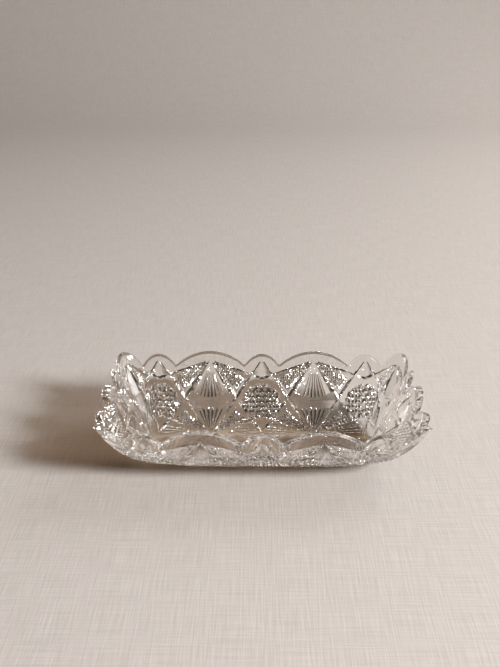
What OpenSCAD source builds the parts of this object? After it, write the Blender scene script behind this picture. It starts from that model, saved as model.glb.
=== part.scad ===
// Pressed-glass trinket dish: a shallow oblong bowl with a scalloped rim and a cut-style pattern.
// X runs along the dish, Y across it and Z up. The table is at Z 0, below the middle of the dish.
// The glass is divided at the rim notches beside the corners and around the flat base.

/* [Overall] */
// Length over the lobes at the two ends
dish_l = 175; // [160:1:190]
// Width over the lobes at the two sides
dish_w = 117; // [105:1:130]
// Height of the large lobes of the sides and ends above the table
dish_h = 36; // [32:0.5:44]

/* [Base] */
// Length of the flat base
base_l = 126; // [112:1:138]
// Width of the flat base
base_w = 23; // [18:1:36]
// Squareness of the base outline, where 2 is an ellipse
base_squareness = 4; // [2.5:0.1:5]
// Thickness of the floor
floor_t = 5; // [3.5:0.5:7]

/* [Walls] */
// Thickness of the walls at the rim
rim_t = 5; // [3.6:0.2:6]
// Corner radius of the rim, seen from above
rim_corner_r = 17; // [12:0.5:24]
// Straight share of the walls' slope, where the rest is a quarter ellipse
wall_straight = 0.15; // [0.05:0.05:0.5]
// Straight share of the slope in the middle of the ends, reached gradually around the corners
end_straight = 1; // [0.2:0.05:1]

/* [Rim lobes] */
// Rise of the large lobes above the notches
large_lobe_rise = 7.9; // [4:0.1:9]
// Rise of the small lobes above the notches
small_lobe_rise = 6.3; // [3:0.1:8]
// Rise of the corner lobes above the notches
corner_lobe_rise = 8.6; // [3:0.1:10]
// Drop from the flat top of the rim to its two edges
lip_drop = 0.3; // [0.2:0.1:2]
// Width of the bevelled edge on each side of the flat top
lip_edge = 0.3; // [0.2:0.1:1.6]

/* [Pressed pattern] */
// Depth of the mitre grooves that cross into diamonds
groove_depth = 1.6; // [0.4:0.1:1.8]
// Depth of the flatter mitres from the fans' tips to the medallions
mitre_depth = 0.8; // [0.2:0.1:1.2]
// Depth of the cuts between the hobnails of the medallions
hobnail_depth = 0.9; // [0.2:0.1:1.4]
// Depth of the flutes in the fans
flute_depth = 0.8; // [0.2:0.1:1.2]
// Depth of the hollow below an upper fan
hollow_depth = 0.9; // [0.2:0.1:1.4]
// Depth of the cross-hatching between the diamonds
hatch_depth = 0.6; // [0.2:0.1:1]
// Height of the upper tips of the grooves above the table
tip_z = 30.5; // [28:0.5:32]
// Plain glass kept below the lip where a notch comes close to the grooves
top_margin = 1; // [0.4:0.1:2]

/* [Hidden] */
glass = [0.86, 0.88, 0.86];

// Columns run from the base up to the rim. A bay spans a medallion's axis and the next fan's axis.
bay = 12;
quarter = 5 * bay;
columns = 4 * quarter;
notch = 4;
// Width of a corner lobe, as a share of a large one
corner_lobe = 0.58;
// Share of the base's half length that the straight bays of the long sides stand on
side_share = 0.92;
// Rows of the pattern, and of the smooth inner face, which has one for every two of them
rows = bay;
inner_rows = rows / 2;
// Half sizes of the hobnail field, in columns and rows, and its middle row
field_columns = 4.6;
field_rows = 2.8;
field_middle = 5.7;
// Columns that a flatter mitre crosses on its way down one row
mitre_run = 4;
// Rows over which a groove deepens from its tip
tip_rows = 2;
// Rows above and below the middle that the flutes of a fan keep clear of
flute_clear = 1;
// Steps up the wall of the grooves' lower tips, on the sides and at the ends
foot_step = 0.03;
end_foot_step = 0.2;
// Columns over which the straighter slope of the ends grows, from one bay out
end_reach = 4 * bay;
// Spacing of columns below which the relief grows shallow
full_spacing = 2;

half_l = dish_l / 2;
half_w = dish_w / 2;
straight_x = half_l - rim_corner_r;
straight_y = half_w - rim_corner_r;
arc = rim_corner_r * PI / 2;
side_s = straight_x + arc / 2;
end_s = straight_y + arc / 2;
corner_bay = (notch + corner_lobe * (bay - notch)) / bay;
side_bay = side_s / (2 + corner_bay);
end_bay = end_s / (1 + corner_bay);
notch_z = dish_h - large_lobe_rise;

// How far quarter column q has turned from the side to the end, and the straight share of its slope
function end_share(q) = let (t = min(max((q - bay) / end_reach, 0), 1))
    t * t * (3 - 2 * t);
function straight(q) = wall_straight + (end_straight - wall_straight) * end_share(q);

// Share of the way out and up the wall of column q at step u, from 0 at the base to 1 at the rim
function run(q, u) = (1 - straight(q)) * sin(90 * u) + straight(q) * u;
function rise(q, u) = (1 - straight(q)) * (1 - cos(90 * u)) + straight(q) * u;
// Slopes of those shares
function run_slope(q, u) = (1 - straight(q)) * PI / 2 * cos(90 * u) + straight(q);
function rise_slope(q, u) = (1 - straight(q)) * PI / 2 * sin(90 * u) + straight(q);
// Step at which column q reaches height z
function step_at(q, z) = lookup(z / dish_h, [for (u = [0:0.02:1.2]) [rise(q, u), u]]);

// Distance along the rim of quarter column q, from the middle of a long side to the middle of an end
function rim_s(q) = q <= 2 * bay + notch ? side_bay * q / bay
    : q <= 3 * bay ? side_s - side_bay * corner_lobe * (3 - q / bay)
    : q <= 4 * bay - notch ? side_s + end_bay * corner_lobe * (q / bay - 3)
    : side_s + end_s - end_bay * (quarter - q) / bay;

// Plan point of the rim at that distance: a rounded rectangle
function rim_at(s) = s <= straight_x ? [s, half_w]
    : s <= straight_x + arc ? let (t = (s - straight_x) / arc * 90)
        [straight_x + rim_corner_r * sin(t), straight_y + rim_corner_r * cos(t)]
    : [half_l, straight_y - (s - straight_x - arc)];

// Plan point of the base at quarter column q: a superellipse, in even steps along the long side
side_end = side_share * base_l / 2;
side_turn = asin(pow(side_share, base_squareness / 2));
function base_y(x) = base_w / 2 * pow(1 - pow(2 * x / base_l, base_squareness), 1 / base_squareness);
function base_turned(t) = [base_l / 2 * pow(sin(t), 2 / base_squareness),
    base_w / 2 * pow(max(cos(t), 0), 2 / base_squareness)];
function base_at(q) = q <= 2 * bay ? [side_end * q / (2 * bay), base_y(side_end * q / (2 * bay))]
    : q >= quarter ? [base_l / 2, 0]
    : base_turned(side_turn + (90 - side_turn) * (q - 2 * bay) / (quarter - 2 * bay));

// Columns between quarter column q and the nearest medallion's axis
function from_medallion(q) = min(q % (2 * bay), 2 * bay - q % (2 * bay));

// Top of the rim at quarter column q: round lobes that meet in notches
function lobe(t) = 1 - t * t;
function rim_z(q) = let (m = from_medallion(q), at_corner = q > 2 * bay && q < 4 * bay)
    let (outer_rise = at_corner ? corner_lobe_rise : large_lobe_rise)
    notch_z + (m <= notch ? small_lobe_rise * lobe(m / notch) : outer_rise * lobe((bay - m) / (bay - notch)));

// Pressed relief at quarter column q and row r, as depths at m columns from a medallion's axis
function from_tip(r) = min(r, rows - r);
function on_groove(q, r) = from_medallion(q) == r || from_medallion(q) == rows - r;
function mitre(m, r) = let (line = (bay - m) / mitre_run)
    mitre_depth * max(0, 1 - abs(from_tip(r) - line)) * min(1, line);
function in_field(m, r) = pow(m / field_columns, 2) + pow((r - field_middle) / field_rows, 2) < 1;
function in_fan(m, r) = bay - m < from_tip(r);
function fan(m, r) = abs(r - rows / 2) > flute_clear ? flute_depth * ((bay - m) % 2)
    : r > rows / 2 ? hollow_depth
    : 0;
function in_hatch(m, r) = from_tip(r) < min(m, bay - m) && from_tip(r) > (bay - m) / mitre_run;
function motif(m, r) = in_field(m, r) ? hobnail_depth * ((m + r) % 2)
    : in_fan(m, r) ? fan(m, r)
    : in_hatch(m, r) ? hatch_depth * ((m + r) % 2)
    : 0;
function relief(q, r) = let (m = from_medallion(q))
    -(on_groove(q, r) ? groove_depth * min(1, from_tip(r) / tip_rows) : max(mitre(m, r), motif(m, r)));

// Relief kept where the columns crowd together towards the base
function plan_at(q, u) = base_at(q) + run(q, u) * (rim_at(rim_s(q)) - base_at(q));
function spacing(q, u) = norm(plan_at(q, u) - plan_at(q < quarter ? q + 1 : q - 1, u));
function kept_relief(q, u, r) = relief(q, r) * min(1, spacing(q, u) / full_spacing);

// Section of the wall in the upright plane of quarter column q: [distance out from the base, height]
function outer_at(q, span, u, lift) = let (out = run_slope(q, u) * span, up = rise_slope(q, u) * dish_h)
    [run(q, u) * span, rise(q, u) * dish_h] + lift * [up, -out] / norm([out, up]);
function inner_at(q, span, u) =
    [run(q, u) * (span - rim_t), rise(q, u) * dish_h + floor_t * pow(1 - rise(q, u), 2)];
function pattern_u(q, r) = let (foot = foot_step + (end_foot_step - foot_step) * end_share(q))
    let (top = step_at(q, min(tip_z, rim_z(q) - lip_drop - top_margin)))
    foot + (top - foot) * r / rows;
function section(q) = let (span = norm(rim_at(rim_s(q)) - base_at(q)))
    let (lip_u = step_at(q, rim_z(q) - lip_drop))
    concat(
        [[0, 0]],
        [for (r = [0:rows]) let (u = pattern_u(q, r)) outer_at(q, span, u, kept_relief(q, u, r))],
        [outer_at(q, span, lip_u, 0)],
        [for (in = [lip_edge, rim_t - lip_edge]) [run(q, lip_u) * (span - in), rim_z(q)]],
        [for (k = [0:inner_rows]) inner_at(q, span, lip_u * (1 - k / inner_rows))]);
ring = rows + inner_rows + 6;

// Column g counts clockwise around the whole dish from the middle of the back
function around(g) = (g + columns) % columns;
function folded(g) = let (w = around(g))
    w <= quarter ? [w, 1, 1] : w <= 2 * quarter ? [2 * quarter - w, 1, -1]
    : w <= 3 * quarter ? [w - 2 * quarter, -1, -1] : [columns - w, -1, 1];
function signed(p, f) = [p[0] * f[1], p[1] * f[2]];
function column_points(g) = let (f = folded(g), q = f[0], foot = base_at(q), rim = rim_at(rim_s(q)))
    let (way = (rim - foot) / norm(rim - foot))
    [for (s = section(q)) let (p = signed(foot + way * s[0], f)) [p[0], p[1], s[1]]];

// Whether the cell above ring point j is split upwards from column g to g + 1: along a groove if it has one
function splits_up(g, j) = let (q = folded(g)[0], next = folded(g + 1)[0], r = j - 1)
    on_groove(q, r) && on_groove(next, r + 1) ? true
    : on_groove(next, r) && on_groove(q, r + 1) ? false
    : from_medallion(next) > from_medallion(q);
function cell(g, first, j) = let (k = (j + 1) % ring, a = (g - first) * ring, b = a + ring)
    splits_up(g, j) ? [[a + j, b + k, a + k], [a + j, b + j, b + k]]
    : [[a + j, b + j, a + k], [b + j, b + k, a + k]];

// Triangles that fill a section: two rows of the pattern o lie across from one row of the inner face i
lip = rows + 2;
inner_top = rows + 5;
filled = concat(
    [[0, 1, ring - 1]],
    [for (j = [lip - 1:lip + 1]) [j, j + 1, inner_top]],
    [for (k = [0:inner_rows - 1]) let (o = lip - 2 - 2 * k, i = inner_top + k)
        each [[o, o + 1, i], [o, i, i + 1], [o - 1, o, i + 1]]]);

// Solid between two columns: walls from the base to the rim, closed by the two sections
module wall_between(first, last) {
    points = [for (g = [first:last]) each column_points(g)];
    sides = [for (g = [first:last - 1]) for (j = [0:ring - 1]) each cell(g, first, j)];
    far = (last - first) * ring;
    end = [for (t = filled) [far + t[2], far + t[1], far + t[0]]];
    color(glass)
        polyhedron(points, concat(sides, filled, end));
}

side_half = 2 * bay - notch;
end_half = bay - notch;

module base_panel() {
    color(glass)
        linear_extrude(floor_t)
            polygon([for (g = [0:columns - 1]) signed(base_at(folded(g)[0]), folded(g))]);
}

module back_wall() {
    wall_between(-side_half, side_half);
}

module front_wall() {
    wall_between(2 * quarter - side_half, 2 * quarter + side_half);
}

module right_end_wall() {
    wall_between(quarter - end_half, quarter + end_half);
}

module left_end_wall() {
    wall_between(3 * quarter - end_half, 3 * quarter + end_half);
}

module back_right_corner() {
    wall_between(side_half, quarter - end_half);
}

module front_right_corner() {
    wall_between(quarter + end_half, 2 * quarter - side_half);
}

module front_left_corner() {
    wall_between(2 * quarter + side_half, 3 * quarter - end_half);
}

module back_left_corner() {
    wall_between(3 * quarter + end_half, columns - side_half);
}

base_panel();
back_wall();
front_wall();
left_end_wall();
right_end_wall();
back_left_corner();
back_right_corner();
front_left_corner();
front_right_corner();
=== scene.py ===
import math

import bmesh
import bpy
import numpy as np
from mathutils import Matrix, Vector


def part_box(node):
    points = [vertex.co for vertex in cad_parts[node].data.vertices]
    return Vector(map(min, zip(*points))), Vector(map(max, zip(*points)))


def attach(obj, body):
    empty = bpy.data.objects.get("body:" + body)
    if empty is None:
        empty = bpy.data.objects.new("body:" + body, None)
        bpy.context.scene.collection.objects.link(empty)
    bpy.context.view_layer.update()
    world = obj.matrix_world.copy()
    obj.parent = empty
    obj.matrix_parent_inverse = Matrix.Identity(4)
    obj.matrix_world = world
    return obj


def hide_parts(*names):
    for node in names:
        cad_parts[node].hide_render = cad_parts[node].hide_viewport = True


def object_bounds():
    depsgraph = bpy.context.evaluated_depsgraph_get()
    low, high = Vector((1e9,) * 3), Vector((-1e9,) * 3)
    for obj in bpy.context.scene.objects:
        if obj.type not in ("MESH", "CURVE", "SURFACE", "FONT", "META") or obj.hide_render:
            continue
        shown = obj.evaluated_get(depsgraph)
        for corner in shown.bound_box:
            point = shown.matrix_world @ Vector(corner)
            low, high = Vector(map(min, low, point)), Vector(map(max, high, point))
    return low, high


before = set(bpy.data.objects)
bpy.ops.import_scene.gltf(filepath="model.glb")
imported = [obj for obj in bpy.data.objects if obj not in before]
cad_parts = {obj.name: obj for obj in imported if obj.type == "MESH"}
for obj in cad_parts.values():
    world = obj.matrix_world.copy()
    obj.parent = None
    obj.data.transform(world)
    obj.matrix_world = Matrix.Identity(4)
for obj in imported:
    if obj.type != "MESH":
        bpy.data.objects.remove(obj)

mm = 0.001
tiny = 1e-6                 # keeps divisions off zero
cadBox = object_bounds()
panelLow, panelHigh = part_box("base_panel")
print("frame loaded, CAD box", [round(v / mm, 1) for v in cadBox[1] - cadBox[0]])


def linear(hexColour):
    # sRGB hex to linear colour with alpha 1
    srgb = np.array([int(hexColour[i:i + 2], 16) for i in (1, 3, 5)]) / 255
    low, high = srgb / 12.92, ((srgb + 0.055) / 1.055) ** 2.4
    return (*np.where(srgb <= 0.04045, low, high).tolist(), 1.0)


def addNode(tree, kind, links=None, **settings):
    # one node with its settings; links maps an input's name to another node's output
    node = tree.nodes.new(kind)
    for name, value in settings.items():
        if name in node.inputs:
            node.inputs[name].default_value = value
        else:
            setattr(node, name, value)
    for name, output in (links or {}).items():
        tree.links.new(output, node.inputs[name])
    return node


# the dish's form in millimetres; a bay is half a repeat, from a medallion's axis to the next fan's axis
dish = {
    "baseLength": (panelHigh.x - panelLow.x) / mm,
    "baseWidth": (panelHigh.y - panelLow.y) / mm,
    "floor": (panelHigh.z - panelLow.z) / mm,
    "squareness": 4,        # of the base outline, 2 is an ellipse
    "sideShare": 0.92,      # of the base's half length, under the straight bays
    "rimWall": 5.0,         # thickness at the rim
    "cornerRadius": 17,
    "wallStraight": 0.15,   # straight share of the slope, the rest is a quarter ellipse
    "endStraight": 1.0,     # the same in the middle of the ends
    "endReach": 4,          # bays over which it grows, from one bay out
    "cornerLobe": 0.58,     # width of a corner lobe, as a share of a large one
    "largeRise": 7.9,       # lobes above the notches
    "smallRise": 6.3,
    "cornerRise": 8.6,
    "notch": 1 / 3,         # half width of a small lobe, in bays
    "lipDrop": 0.3,         # flat top of the rim above its two edges
    "lipEdge": 0.3,         # width of the rounded edge on each side of the flat top
}
quarterBays, allBays = 5, 20
notchHeight = (cadBox[1].z - cadBox[0].z) / mm - dish["cornerRise"]      # the corner lobes are the tallest
dish["height"] = notchHeight + dish["largeRise"]


def endShare(q):
    # how far the wall has turned from the side to the end: a smooth step over some bays
    t = np.clip((q - 1) / dish["endReach"], 0, 1)
    return t * t * (3 - 2 * t)


def slopeShare(q):
    # straight share of the slope, between those of the sides and of the ends
    return dish["wallStraight"] + (dish["endStraight"] - dish["wallStraight"]) * endShare(q)


def runOut(s, u):
    # share of the way from base to rim at step u: part sine, part straight line
    return (1 - s) * np.sin(u * math.pi / 2) + s * u


def riseUp(s, u):
    # share of the height at step u: part one minus cosine, part straight line
    return (1 - s) * (1 - np.cos(u * math.pi / 2)) + s * u


def stepAt(s, height):
    # step at which a column reaches a height, by Newton's method
    u = np.full(np.broadcast(s, height).shape, 0.6)
    for _ in range(12):
        slope = (1 - s) * math.pi / 2 * np.sin(u * math.pi / 2) + s
        u = np.clip(u - (riseUp(s, u) - height / dish["height"]) / slope, 0, 1.2)
    return u


def foldBays(c):
    # bay position around the dish, from the middle of the back, to its place in one quarter and two signs
    w = np.mod(c, allBays)
    q = quarterBays - np.abs(np.mod(w, 2 * quarterBays) - quarterBays)
    atBack = (w <= quarterBays) | (w >= 3 * quarterBays)
    return q, np.where(w <= 2 * quarterBays, 1.0, -1.0), np.where(atBack, 1.0, -1.0)


def rimTop(q):
    # height of the rim: parabola lobes that meet in notches
    m = np.abs(np.mod(q + 1, 2) - 1)
    corner = (q > 2) & (q < 4)
    n = dish["notch"]
    rise = np.where(corner, dish["cornerRise"], dish["largeRise"])
    small = dish["smallRise"] * (1 - (m / n) ** 2)
    large = rise * (1 - ((1 - m) / (1 - n)) ** 2)
    return notchHeight + np.where(m <= n, small, large)


# the rim's reach follows from the CAD box: its lip stops a little short of a full step
largeLobes = slopeShare(np.array([quarterBays, 1]))              # of an end and of a side
lipRun = runOut(largeLobes, stepAt(largeLobes, dish["height"] - dish["lipDrop"]))
boxHalf = np.array([cadBox[1].x / mm, cadBox[1].y / mm])
baseHalf = np.array([dish["baseLength"] / 2, dish["baseWidth"] / 2])
halfLength, halfWidth = (baseHalf + (boxHalf - baseHalf) / lipRun).tolist()
straightX, straightY = halfLength - dish["cornerRadius"], halfWidth - dish["cornerRadius"]
cornerArc = dish["cornerRadius"] * math.pi / 2


def rimPlan(q):
    # plan of the rim: a rounded rectangle, walked in even bays with a narrower lobe at the corner
    sideWay, endWay = straightX + cornerArc / 2, straightY + cornerArc / 2
    n = dish["notch"]
    cornerBay = n + dish["cornerLobe"] * (1 - n)
    sideBay, endBay = sideWay / (2 + cornerBay), endWay / (1 + cornerBay)
    stops = [0, (2 + n) * sideBay, sideWay, sideWay + endWay - (1 + n) * endBay, sideWay + endWay]
    way = np.interp(q, [0, 2 + n, 3, 4 - n, 5], stops)
    turn = np.clip((way - straightX) / cornerArc, 0, 1) * math.pi / 2
    x = np.minimum(way, straightX) + dish["cornerRadius"] * np.sin(turn)
    y = straightY + dish["cornerRadius"] * np.cos(turn) - np.maximum(way - straightX - cornerArc, 0)
    return x, y


def basePlan(q):
    # plan of the base: a superellipse, in even steps along the side and then in even turns
    power = dish["squareness"]
    turnStart = math.asin(dish["sideShare"] ** (power / 2))
    turn = turnStart + (math.pi / 2 - turnStart) * np.clip((q - 2) / 3, 0, 1)
    x = np.where(q <= 2, dish["sideShare"] * baseHalf[0] * q / 2, baseHalf[0] * np.sin(turn) ** (2 / power))
    y = baseHalf[1] * np.clip(1 - (x / baseHalf[0]) ** power, 0, 1) ** (1 / power)
    return x, y


def columnAt(c):
    # a column of the wall: its foot, its way out to the rim, its slope share and its place in the quarter
    q, signX, signY = foldBays(c)
    rim, foot = np.stack(rimPlan(q), -1), np.stack(basePlan(q), -1)
    sign = np.stack([signX, signY], -1)
    return foot * sign, (rim - foot) * sign, slopeShare(q), q


def outerPoint(c, u):
    # outer face before it is pressed: foot plus run times way, height from the rise
    foot, way, s, _ = columnAt(c)
    plan = foot + way * runOut(s, u)[..., None]
    return np.concatenate([plan, (riseUp(s, u) * dish["height"])[..., None]], -1)


def innerPoint(c, u):
    # smooth inner face: the same column, short of the rim by the wall, on a floor that thins as it rises
    foot, way, s, _ = columnAt(c)
    span = np.linalg.norm(way, axis=-1)
    rise = riseUp(s, u)
    plan = foot + way * (runOut(s, u) * (1 - dish["rimWall"] / span))[..., None]
    return np.concatenate([plan, (rise * dish["height"] + dish["floor"] * (1 - rise) ** 2)[..., None]], -1)


# the pressed pattern, sizes in millimetres on a straight bay
cut = {
    "cells": 38,            # mesh cells along a bay, and along half the pattern's height
    "bayWidth": 30.0,
    "halfHeight": 31.0,
    "apexHeight": 30.5,     # of the cuts' upper tips above the table
    "margin": 1.0,          # plain glass kept below the lip where a notch comes close
    "footStep": 0.03,       # of the cuts' lower tips up the wall at the sides
    "endFootStep": 0.2,     # and in the middle of the ends
    "depth": 1.9,           # mitre grooves
    "taper": 12.0,          # distance from an apex over which a groove reaches its depth
    "tipShare": 0.15,       # of that depth at the apex itself
    "flankPower": 1.5,      # above 1, a flank runs out softly into the plain glass
    "steepFlank": 0.12,     # flanks widen from an apex, width per distance
    "narrowFlank": 0.08,
    "broadFlank": 0.14,
    "kiteSlope": 0.85,      # of a kite's long facets
    "kiteFoot": 0.8,        # and of its short ones
    "fieldX": 10.9,         # half width and half height of the oval of hobnails
    "fieldY": 14.0,
    "fieldMiddle": 1.06,    # its place down the pattern
    "borderFall": 6.0,      # how fast the glass around the oval falls away
    "studTop": 1.25,        # above 1, the points of hobnails and hatching are cut off flat
    "hobnailDepth": 1.6,
    "hobnailCells": 5,
    "hatchDepth": 0.85,     # cross-hatching, drawn about as coarse as 2.4 mm so that it shows
    "lowHatchDepth": 1.0,
    "hatchCells": 3,
    "hatchFade": 0.3,       # it dies out towards the grooves over this share of their flanks
    "rayDepth": 1.0,        # fluted rays below the lower flat mitres
    "rays": 4,
    "rayFade": 1.5,         # they die out towards the medallion's groove
    "fanEdge": 0.06,        # shares of a fan's width: groove flank, then plain glass
    "fanPlain": 0.17,
    "fanSteps": 35,
    "ridgeShare": 0.35,     # height of a fan's ridges, per width
    "ridgeStart": 0.1,      # shares of a fan's length where they start and are full
    "ridgeFull": 0.35,
    "fullWidth": 20.0,      # bays narrower than this, at the ends and near the base, have shallower relief
}
# halves of a fan's diamond: how far the ridges reach at its edge, how far their arc bulges,
# the depth of the hollow beyond it, and a power that makes the hollow shallow in the middle
fans = {
    "upper": {"ridges": 7, "reach": 0.775, "bulge": 0.2, "hollow": 1.9, "pinch": 0},
    "lower": {"ridges": 5, "reach": 0.74, "bulge": 0.08, "hollow": 1.7, "pinch": 1},
}
cosA = math.cos(math.atan(cut["bayWidth"] / 2 / cut["halfHeight"]))   # steep mitre lines
cosB = math.cos(math.atan(cut["halfHeight"] / 2 / cut["bayWidth"]))   # flat mitre lines


def flank(distance, width):
    # 1 on a groove's line, falling to 0 at the flank's width and rounded off there
    return np.clip(1 - distance / np.maximum(width, tiny), 0, 1) ** cut["flankPower"]


def tooth(x):
    # triangle wave: 0 at whole numbers, 1 half way between
    return 1 - np.abs(2 * np.mod(x, 1) - 1)


def grooveDepth(x, y):
    # depth of a mitre groove at a place measured from its apex
    return cut["depth"] * np.clip(cut["tipShare"] + np.hypot(x, y) / cut["taper"], 0, 1)


def studs(m, v, cells):
    # truncated diamonds left standing between two sets of grooves along the steep mitre lines
    a, b = (v / 2 + m) * cut["cells"] / cells, (v / 2 - m) * cut["cells"] / cells
    return np.clip(cut["studTop"] * np.minimum(tooth(a), tooth(b)), 0, 1)


def flatMitre(m, t):
    # groove from a fan's apex to the medallion's axis: narrow flank above its line, broad one below
    x, y = (1 - m) * cut["bayWidth"], t * cut["halfHeight"]
    below = (t - 0.5 * (1 - m)) * cut["halfHeight"] * cosB
    wide = np.where(below > 0, cut["broadFlank"], cut["narrowFlank"]) * np.hypot(x, y)
    return below, flank(np.abs(below), wide), grooveDepth(x, y)


def medallionRelief(m, v):
    # m in bays from the medallion's axis, v from 0 at the top of the pattern to 2 at its foot
    t, side = 1 - np.abs(v - 1), np.abs(m)
    x, y = side * cut["bayWidth"], t * cut["halfHeight"]
    depth = grooveDepth(x, y)
    toA = (t / 2 - side) * cut["bayWidth"] * cosA
    below, near, fanDepth = flatMitre(side, t)
    roof = np.minimum(cut["kiteSlope"] * toA, cut["kiteFoot"] * np.maximum(-below, 0))
    kite = np.minimum(roof - depth, 0)      # a hipped roof, cut off level with the plain glass
    oval = np.hypot(x / cut["fieldX"], (v - cut["fieldMiddle"]) * cut["halfHeight"] / cut["fieldY"])
    border = -np.clip((oval - 1) * cut["borderFall"], 0, depth)
    border = np.minimum(border, -depth * flank(toA, cut["steepFlank"] * np.hypot(x, y)))
    hobnails = -cut["hobnailDepth"] * (1 - studs(m, v, cut["hobnailCells"]))
    body = np.where(oval < 1, hobnails, border)
    return np.minimum(np.where(below < 0, kite, body), -fanDepth * near)


def wedgeRelief(m, v):
    # triangles between the diamonds: plain glass or rays above the flat mitre line, cross-hatching below it
    t = np.minimum(v, 2 - v)
    below, near, fanDepth = flatMitre(m, t)
    x, y = m * cut["bayWidth"], t * cut["halfHeight"]
    medallionDepth = grooveDepth(x, y)
    toFan = (1 - t / 2 - m) * cut["bayWidth"] * cosA
    toMedallion = (m - t / 2) * cut["bayWidth"] * cosA
    fanFlank, medallionFlank = cut["steepFlank"] * np.hypot([cut["bayWidth"] - x, x], y)
    steep, side = flank(toFan, fanFlank), flank(toMedallion, medallionFlank)
    fanGroove = -fanDepth * np.maximum(near, np.where(below > 0, steep, 0))
    grooves = np.minimum(fanGroove, -medallionDepth * side)
    clearOfFan = toFan / np.maximum(fanFlank, tiny)
    clear = np.minimum(clearOfFan, toMedallion / np.maximum(medallionFlank, tiny)) - 1
    hatch = -np.where(v < 1, cut["hatchDepth"], cut["lowHatchDepth"])
    hatch *= np.clip(clear / cut["hatchFade"], 0, 1) * (1 - studs(m, v, cut["hatchCells"]))
    hatched = (below > 0) & (near == 0) & (steep == 0) & (side == 0)
    rays = -cut["rayDepth"] * np.hypot(cut["bayWidth"] - x, y) / cut["bayWidth"]
    fluted = 1 - tooth(t / np.maximum(0.5 * (1 - m), tiny) * cut["rays"])
    rays *= np.where((v > 1) & (below < 0), fluted, 0) * np.clip(toMedallion / cut["rayFade"], 0, 1)
    return np.where(hatched, hatch, np.minimum(grooves, rays))


def fanRelief(f, r, half):
    # f across a fan from 0 to 1, r from its apex to the middle of the pattern:
    # round ridges with sharp valleys, one minus the size of a sine, then a hollow
    depth = grooveDepth(r * cut["bayWidth"] / 2, r * cut["halfHeight"])
    edge = np.clip(np.minimum(f, 1 - f) / cut["fanEdge"], 0, 1)
    inner = 1 - 2 * cut["fanPlain"]
    place = (f - cut["fanPlain"]) / inner
    grown = np.clip((r / half["reach"] - cut["ridgeStart"]) / (cut["ridgeFull"] - cut["ridgeStart"]), 0, 1)
    height = cut["ridgeShare"] * inner * cut["bayWidth"] * r / half["ridges"] * grown
    valley = 1 - np.abs(np.sin(math.pi * place * half["ridges"]))
    ridged = np.where((place > -tiny) & (place < 1 + tiny), -height * valley, 0)
    hollow = -half["hollow"] * (1 - r) / (1 - half["reach"])     # deepest where the ridges end
    hollow = hollow * np.abs(2 * f - 1) ** half["pinch"]
    return -depth + (np.where(r > half["reach"], hollow, ridged) + depth) * edge


def footAndTop(c):
    # steps up the wall of the pattern's lower and upper tips
    _, _, s, q = columnAt(c)
    foot = cut["footStep"] + (cut["endFootStep"] - cut["footStep"]) * endShare(q)
    return foot, stepAt(s, cut["apexHeight"] + 0 * foot)


def topOfPattern(c):
    # v at the upper edge of the pattern: 0, or lower where a notch of the rim comes close
    _, _, s, q = columnAt(c)
    foot, top = footAndTop(c)
    u = stepAt(s, rimTop(q) - dish["lipDrop"] - cut["margin"])
    return np.maximum(2 * (1 - (u - foot) / (top - foot)), 0)


def pressedPoint(c, v, relief):
    # moves a point of the outer face along its normal by the relief, kept shallower where bays are narrow
    foot, top = footAndTop(c)
    u = foot + (top - foot) * (1 - v / 2)
    eps = 1e-4
    across = (outerPoint(c + eps, u) - outerPoint(c - eps, u)) / (2 * eps)
    upward = outerPoint(c, u + eps) - outerPoint(c, u - eps)
    normal = np.cross(upward, across)
    normal /= np.linalg.norm(normal, axis=-1, keepdims=True)
    kept = np.clip(np.linalg.norm(across, axis=-1) / cut["fullWidth"], 0, 1)
    return outerPoint(c, u) + normal * (relief * kept)[..., None]


def quads(index):
    # quads of a grid of vertex numbers
    corners = [index[..., :-1, :-1], index[..., 1:, :-1], index[..., 1:, 1:], index[..., :-1, 1:]]
    return np.stack(corners, -1).reshape(-1, 4)


def numbered(shape):
    # vertex numbers of a grid, row by row
    return np.arange(math.prod(shape)).reshape(shape)


def medallionPatches():
    # each medallion's diamond is a square grid along the two steep mitre lines
    n = cut["cells"]
    a, b = np.meshgrid(np.arange(n + 1), np.arange(n + 1), indexing="ij")
    m, v = (a - b) / (2 * n), (a + b) / n
    c = np.arange(0, allBays, 2)[:, None, None] + m
    return pressedPoint(c, v + 0 * c, medallionRelief(m, v) + 0 * c), quads(numbered(c.shape))


def wedgePatches():
    # each triangle is a lattice of rows that lose a point as they leave its long edge
    n = cut["cells"]
    row, place = np.meshgrid(np.arange(n + 1), np.arange(n + 1), indexing="ij")
    m, t = place / n + row / (2 * n), row / n
    axes = np.arange(0, allBays, 2)[:, None, None, None, None]
    side = np.array([1, -1])[None, :, None, None, None]
    low = np.array([0, 1])[None, None, :, None, None]
    m, t, low, c = np.broadcast_arrays(m, t, low, axes + side * m)
    # the plain glass above the flat mitre line is squeezed to make room for the rim's notches
    mitre = 0.5 * (1 - m)
    squeeze = 1 - topOfPattern(c) / np.maximum(mitre, tiny)
    squeezed = np.where(t < mitre, mitre - (mitre - t) * squeeze, t)
    v = np.where(low == 0, squeezed, 2 - t)
    number = numbered(c.shape)
    inside = row + place
    up = np.stack([number[..., :-1, :-1], number[..., :-1, 1:], number[..., 1:, :-1]], -1)
    down = np.stack([number[..., :-1, 1:], number[..., 1:, 1:], number[..., 1:, :-1]], -1)
    up, down = up[..., inside[:-1, :-1] < n, :], down[..., inside[:-1, :-1] < n - 1, :]
    return pressedPoint(c, v, wedgeRelief(m, v)), np.concatenate([up.reshape(-1, 3), down.reshape(-1, 3)])


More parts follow.
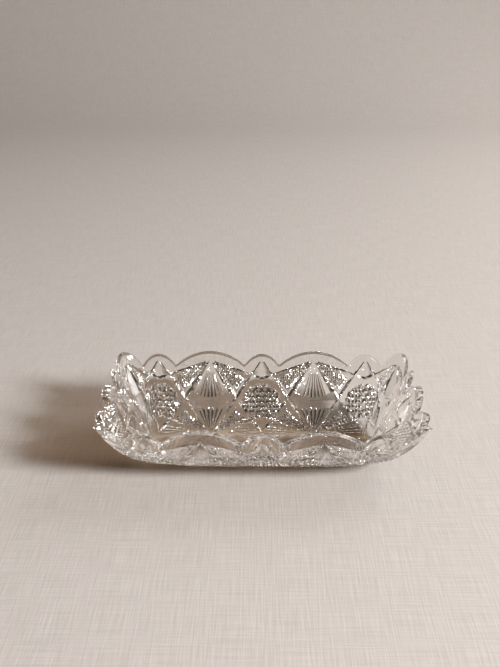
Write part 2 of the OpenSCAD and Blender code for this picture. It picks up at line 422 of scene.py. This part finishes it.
def fanPatches():
    # each half of a fan's diamond is a grid of rays from its apex, crossed by arcs
    n = cut["cells"]
    side = [0, cut["fanEdge"] / 2, cut["fanEdge"]]
    rays = np.linspace(cut["fanPlain"], 1 - cut["fanPlain"], cut["fanSteps"] + 1)
    f = np.concatenate([side, rays, 1 - np.flip(side)])
    r = np.arange(n + 1)[:, None] / n
    c = np.arange(1, allBays, 2)[:, None, None] + (f - 0.5) * r
    points, faces = [], []
    for name, half in fans.items():
        bulge = half["bulge"] * np.clip((1 - r) / (1 - half["reach"]), 0, 1) * (1 - (2 * f - 1) ** 2)
        t = r * (1 + bulge)
        v = t if name == "upper" else 2 - t
        points.append(pressedPoint(c, v + 0 * c, fanRelief(f, r, half) + 0 * c).reshape(-1, 3))
        faces.append(quads(numbered(c.shape)) + c.size * len(faces))
    return np.concatenate(points), np.concatenate(faces)


# rows of the plain surfaces around the pattern, the star under the base, and how the mesh is finished
plain = {
    "marginRows": 3,
    "lipSteps": 2,
    "innerRows": 7,
    "floorRings": [0.6, 0.25],
    "baseRings": [1.0, 0.94, 0.75, 0.5, 0.25],      # the star starts at the second
    "starDepth": 1.1,       # millimetres
    "starRays": 4,          # to a bay
    "starCurve": 0.7,       # below 1, the cuts are deep over more of their length
    "weld": 0.002,          # millimetres
    "sharpAngle": 25,       # edges above this many degrees stay crisp
}


def ringPatches():
    # closed rings of points, joined one to the next: margin, lip, inner wall and floor
    n = cut["cells"] * allBays
    c = np.arange(n + 1) / cut["cells"]
    foot, _, s, q = columnAt(c)
    m = np.abs(np.mod(q + 1, 2) - 1)
    upperEdge = topOfPattern(c)
    low, high = footAndTop(c)
    top = low + (high - low) * (1 - upperEdge / 2)
    lip = stepAt(s, rimTop(q) - dish["lipDrop"])
    rows = [pressedPoint(c, upperEdge, wedgeRelief(m, upperEdge))]
    for k in range(1, plain["marginRows"] + 1):
        rows.append(outerPoint(c, top + (lip - top) * k / plain["marginRows"]))
    edge, back = outerPoint(c, lip), innerPoint(c, lip)
    inward = (back - edge) / np.linalg.norm(back - edge, axis=-1, keepdims=True)
    turns = np.linspace(0, math.pi / 2, plain["lipSteps"] + 1)[1:]
    # rounded edges on both sides of the flat top: out by one minus cosine, up by sine
    for start, toward, around in ((edge, inward, turns), (back, -inward, turns[::-1])):
        for turn in around:
            ring = start + toward * dish["lipEdge"] * (1 - math.cos(turn))
            ring[:, 2] = edge[:, 2] + dish["lipDrop"] * math.sin(turn)
            rows.append(ring)
    rows += [innerPoint(c, lip * (1 - k / plain["innerRows"])) for k in range(plain["innerRows"] + 1)]
    for scale in plain["floorRings"] + [0]:
        rows.append(np.concatenate([foot * scale, np.full((n + 1, 1), dish["floor"])], -1))
    upper = np.stack(rows)
    # the underside: heel, then a star of cuts whose rays run to the feet of the pattern
    ray = tooth(c * plain["starRays"])
    lowerEdge = np.full_like(c, 2)
    rows = [pressedPoint(c, lowerEdge, wedgeRelief(m, lowerEdge))]
    starEdge = plain["baseRings"][1]
    for scale in plain["baseRings"] + [0]:
        inset = np.clip((starEdge - scale) / starEdge, 0, 1)
        lift = plain["starDepth"] * ray * np.sin(math.pi * inset) ** plain["starCurve"]
        rows.append(np.concatenate([foot * scale, lift[:, None]], -1))
    lower = np.stack(rows)
    faces = [quads(numbered(upper.shape[:2])), quads(numbered(lower.shape[:2])) + upper.size // 3]
    return np.concatenate([upper.reshape(-1, 3), lower.reshape(-1, 3)]), np.concatenate(faces)


def makeDish():
    # joins the patches into one closed mesh, welded along the edges that they share
    mesh = bpy.data.meshes.new("glass_dish")
    points, faces, count = [], [], 0
    for patch in (medallionPatches(), wedgePatches(), fanPatches(), ringPatches()):
        points.append(patch[0].reshape(-1, 3))
        faces += (patch[1] + count).tolist()
        count += len(points[-1])
    mesh.from_pydata((np.concatenate(points) * mm).tolist(), [], faces)
    shape = bmesh.new()
    shape.from_mesh(mesh)
    bmesh.ops.remove_doubles(shape, verts=shape.verts, dist=plain["weld"] * mm)
    bmesh.ops.delete(shape, geom=[v for v in shape.verts if not v.link_faces], context="VERTS")
    bmesh.ops.recalc_face_normals(shape, faces=shape.faces)
    openEdges = sum(len(e.link_faces) != 2 for e in shape.edges)
    shape.to_mesh(mesh)
    shape.free()
    mesh.polygons.foreach_set("use_smooth", np.ones(len(mesh.polygons), bool))
    mesh.set_sharp_from_angle(angle=math.radians(plain["sharpAngle"]))
    mesh.calc_loop_triangles()
    print("glass_dish:", len(mesh.loop_triangles), "triangles,", openEdges, "open edges")
    piece = bpy.data.objects.new("glass_dish", mesh)
    bpy.context.collection.objects.link(piece)
    return piece


# clear soda-lime glass from a mould, fire polished: water clear, with slightly soft and wavy faces
glass = {
    "tint": "#fdfbf8",
    "ior": 1.52,
    "roughness": 0.015,
    "wave": 9.0,            # millimetres from one to the next
    "waveHeight": 0.03,
    "wallShade": "#bfb2a3",     # what its shadow lets through, under walls and under level faces
    "floorShade": "#ece4da",
    "wallLevel": 0.93,      # upright part of the normal at which a face counts as wall
    "floorLevel": 0.98,     # and as level
}


def pressedGlass():
    material = bpy.data.materials.new("pressed_soda_lime_glass")
    material.use_nodes = True
    tree = material.node_tree
    shader = tree.nodes["Principled BSDF"]
    shader.inputs["Base Color"].default_value = linear(glass["tint"])
    shader.inputs["IOR"].default_value = glass["ior"]
    shader.inputs["Roughness"].default_value = glass["roughness"]
    shader.inputs["Transmission Weight"].default_value = 1.0
    place = addNode(tree, "ShaderNodeTexCoord")
    wave = addNode(tree, "ShaderNodeTexNoise", {"Vector": place.outputs["Object"]},
                   Scale=1 / (glass["wave"] * mm), Detail=1.0)
    bump = addNode(tree, "ShaderNodeBump", {"Height": wave.outputs["Fac"]},
                   Strength=1.0, Distance=glass["waveHeight"] * mm)
    tree.links.new(bump.outputs["Normal"], shader.inputs["Normal"])
    # its shadow: the plain floor passes most of the light straight on, the pressed walls a warm part of it
    ray = addNode(tree, "ShaderNodeLightPath")
    shaded = {0: ray.outputs["Is Shadow Ray"], 1: ray.outputs["Is Diffuse Ray"]}
    anyShade = addNode(tree, "ShaderNodeMath", shaded, operation="MAXIMUM")
    face = addNode(tree, "ShaderNodeNewGeometry")
    parts = addNode(tree, "ShaderNodeSeparateXYZ", {"Vector": face.outputs["Normal"]})
    level = addNode(tree, "ShaderNodeMath", {0: parts.outputs["Z"]}, operation="ABSOLUTE")
    passed = addNode(tree, "ShaderNodeValToRGB", {"Fac": level.outputs["Value"]})
    for stop, part in zip(passed.color_ramp.elements, ("wall", "floor")):
        stop.position, stop.color = glass[part + "Level"], linear(glass[part + "Shade"])
    clear = addNode(tree, "ShaderNodeBsdfTransparent", {"Color": passed.outputs["Color"]})
    both = {"Fac": anyShade.outputs["Value"], 1: shader.outputs["BSDF"], 2: clear.outputs["BSDF"]}
    mix = addNode(tree, "ShaderNodeMixShader", both)
    tree.links.new(mix.outputs["Shader"], tree.nodes["Material Output"].inputs["Surface"])
    return material


# pale linen sweep under and behind the dish: bleached flax in plain weave, matt, with slubs in its threads
sweep = {
    "width": 16.0,          # metres, as the next four
    "front": -8.0,
    "back": 1.15,
    "bend": 1.2,
    "top": 1.4,
    "bendSteps": 16,
    "thread": 0.9,          # millimetres, drawn coarse so that it shows
    "slub": 25.0,
    "relief": 0.15,
    "dark": "#ccc3bc",
    "light": "#dcd3cc",
    "darkStop": 0.35,       # weave heights at which the two colours are full
    "lightStop": 0.65,
    "roughness": 0.9,
    "specular": 0.1,
}


def makeSweep():
    # a profile of floor, quarter bend and wall, carried along X
    turn = np.linspace(0, math.pi / 2, sweep["bendSteps"] + 1)
    wall = sweep["back"] + sweep["bend"]
    y = np.concatenate([[sweep["front"]], sweep["back"] + sweep["bend"] * np.sin(turn), [wall]])
    z = np.concatenate([[0], sweep["bend"] * (1 - np.cos(turn)), [sweep["top"]]])
    x = np.array([-1, 1]) * sweep["width"] / 2
    grid = np.stack(np.broadcast_arrays(x[:, None], y, z), -1)
    mesh = bpy.data.meshes.new("linen_sweep")
    mesh.from_pydata(grid.reshape(-1, 3).tolist(), [], quads(numbered(grid.shape[:2])).tolist())
    mesh.polygons.foreach_set("use_smooth", np.ones(len(mesh.polygons), bool))
    floor = bpy.data.objects.new("linen_sweep", mesh)
    bpy.context.collection.objects.link(floor)
    material = bpy.data.materials.new("bleached_linen")
    material.use_nodes = True
    tree = material.node_tree
    shader = tree.nodes["Principled BSDF"]
    # plain weave: the mean of noise drawn out along the warp and noise drawn out along the weft
    place = addNode(tree, "ShaderNodeTexCoord")
    across, along = 1 / (sweep["thread"] * mm), 1 / (sweep["slub"] * mm)
    threads = {}
    for way, scale in enumerate(((across, along, along), (along, across, across))):
        drawn = addNode(tree, "ShaderNodeMapping", {"Vector": place.outputs["Object"]}, Scale=scale)
        noise = addNode(tree, "ShaderNodeTexNoise", {"Vector": drawn.outputs["Vector"]},
                        Scale=1.0, Detail=2.0)
        threads[way] = noise.outputs["Fac"]
    crossed = addNode(tree, "ShaderNodeMath", threads, operation="ADD")
    weave = addNode(tree, "ShaderNodeMath", {0: crossed.outputs["Value"]}, operation="MULTIPLY")
    weave.inputs[1].default_value = 0.5
    tone = addNode(tree, "ShaderNodeValToRGB", {"Fac": weave.outputs["Value"]})
    for stop, key in zip(tone.color_ramp.elements, ("dark", "light")):
        stop.position, stop.color = sweep[key + "Stop"], linear(sweep[key])
    tree.links.new(tone.outputs["Color"], shader.inputs["Base Color"])
    relief = addNode(tree, "ShaderNodeBump", {"Height": weave.outputs["Value"]},
                     Distance=sweep["relief"] * mm)
    tree.links.new(relief.outputs["Normal"], shader.inputs["Normal"])
    shader.inputs["Roughness"].default_value = sweep["roughness"]
    shader.inputs["Specular IOR Level"].default_value = sweep["specular"]
    mesh.materials.append(material)
    return floor


# camera fitted to the rim notches of the photograph: millimetres and degrees
view = {
    "place": (-2.2, -527.4, 256.4),
    "down": 19.67,
    "turn": 0.48,
    "lens": 56.7,
    "sensor": 36,           # its long side
}


def makeCamera():
    data = bpy.data.cameras.new("camera")
    data.lens, data.sensor_width = view["lens"], view["sensor"]
    camera = bpy.data.objects.new("camera", data)
    camera.location = [v * mm for v in view["place"]]
    camera.rotation_euler = (math.radians(90 - view["down"]), 0, math.radians(view["turn"]))
    bpy.context.collection.objects.link(camera)
    bpy.context.scene.camera = camera


# a low window at the right front, a soft one behind at the right and a dim room; places in metres
lights = {
    "window": {"place": (1.80, -1.26, 1.08), "size": 0.6, "power": 101, "colour": "#ffffff"},
    "backWindow": {"place": (1.1, 0.9, 0.9), "size": 0.9, "power": 9, "colour": "#ffffff"},
}
room = {
    "dark": "#231b15",      # to the left
    "light": "#544b43",     # to the right
    "darkFrom": -0.6,       # sideways part of the direction at which each colour is full
    "lightFrom": 1.0,
    "strength": 1.0,
}


def makeLights():
    for name, lamp in lights.items():
        data = bpy.data.lights.new(name, "AREA")
        data.size, data.energy, data.color = lamp["size"], lamp["power"], linear(lamp["colour"])[:3]
        light = bpy.data.objects.new(name, data)
        light.location = lamp["place"]
        x, y, z = lamp["place"]
        # turned to face the dish
        light.rotation_euler = (math.atan2(math.hypot(x, y), z), 0, math.atan2(x, -y))
        bpy.context.collection.objects.link(light)
    world = bpy.data.worlds.new("room")
    world.use_nodes = True
    tree = world.node_tree
    backdrop = tree.nodes["Background"]
    backdrop.inputs["Strength"].default_value = room["strength"]
    place = addNode(tree, "ShaderNodeTexCoord")
    parts = addNode(tree, "ShaderNodeSeparateXYZ", {"Vector": place.outputs["Generated"]})
    span = {"From Min": room["darkFrom"], "From Max": room["lightFrom"]}
    side = addNode(tree, "ShaderNodeMapRange", {"Value": parts.outputs["X"]}, **span)
    blend = addNode(tree, "ShaderNodeMix", {"Factor": side.outputs["Result"]}, data_type="RGBA")
    sockets = {socket.identifier: socket for socket in [*blend.inputs, *blend.outputs]}
    sockets["A_Color"].default_value = linear(room["dark"])
    sockets["B_Color"].default_value = linear(room["light"])
    tree.links.new(sockets["Result_Color"], backdrop.inputs["Color"])
    bpy.context.scene.world = world


makeCamera()
dishPiece = makeDish()
dishPiece.data.materials.append(pressedGlass())
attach(dishPiece, "root")
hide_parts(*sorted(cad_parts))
print("dish made")
makeSweep()
makeLights()
scene = bpy.context.scene
scene.view_settings.view_transform = "Standard"
scene.cycles.max_bounces = 24               # light crosses many faces of the glass
scene.cycles.transmission_bounces = 24
scene.cycles.glossy_bounces = 12
scene.cycles.sample_clamp_indirect = 0      # keeps the light that the glass gathers on the linen
print("stage, camera and lights made")
